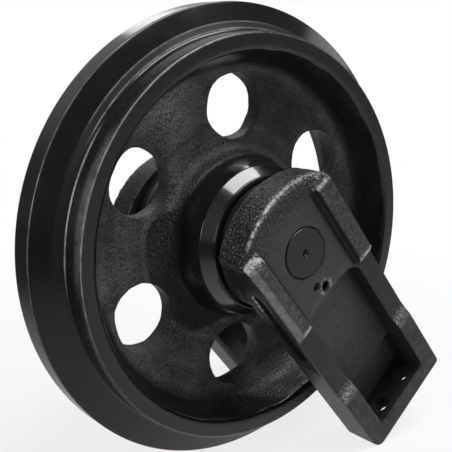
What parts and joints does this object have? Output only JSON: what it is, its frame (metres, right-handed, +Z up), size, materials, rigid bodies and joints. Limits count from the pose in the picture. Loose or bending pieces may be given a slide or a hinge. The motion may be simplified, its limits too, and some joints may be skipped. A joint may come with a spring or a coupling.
{
  "type": "excavator front idler",
  "caption": "Crawler excavator front idler: a cast wheel with centre flange, treads and holed web, turning on a sealed shaft between mirrored slide brackets with bolted arms.",
  "frame": {"origin": "middle of the wheel, on its axis, which is also the middle of the whole assembly's box", "axes": "+Y along the wheel's axis towards the far bracket, +Z up, +X towards the arms' tips; the flange and both arm tips rest on the plane z = -0.235 m"},
  "size_m": [0.4699, 0.248, 0.47],
  "materials": {
    "black_paint_cast": "satin black paint over cast and turned steel",
    "black_paint_bracket": "satin black paint over a sand casting, worn on the pads",
    "black_paint_turned": "satin black paint over a turned shaft end",
    "steel": "ground and lapped",
    "bronze": "turned",
    "copper": "soft washer",
    "rubber": "matt"
  },
  "bodies": {
    "carrier": {"near_bracket": "black_paint_bracket", "far_bracket": "black_paint_bracket", "shaft": "black_paint_turned", "near_lock_pin": "steel", "far_lock_pin": "steel", "near_shaft_o_ring": "rubber", "far_shaft_o_ring": "rubber", "near_fixed_seal_ring": "steel", "far_fixed_seal_ring": "steel", "near_fixed_toric": "rubber", "far_fixed_toric": "rubber", "oil_plug": "steel", "oil_plug_washer": "copper"},
    "wheel": {"idler_wheel": "black_paint_cast", "near_bush": "bronze", "far_bush": "bronze", "near_turning_seal_ring": "steel", "far_turning_seal_ring": "steel", "near_turning_toric": "rubber", "far_turning_toric": "rubber"}
  },
  "joints": [
    {"name": "wheel_spin", "type": "hinge", "parent": "carrier", "child": "wheel", "pos_m": [0, 0, 0], "axis": [0, 1, 0], "continuous": true}
  ]
}
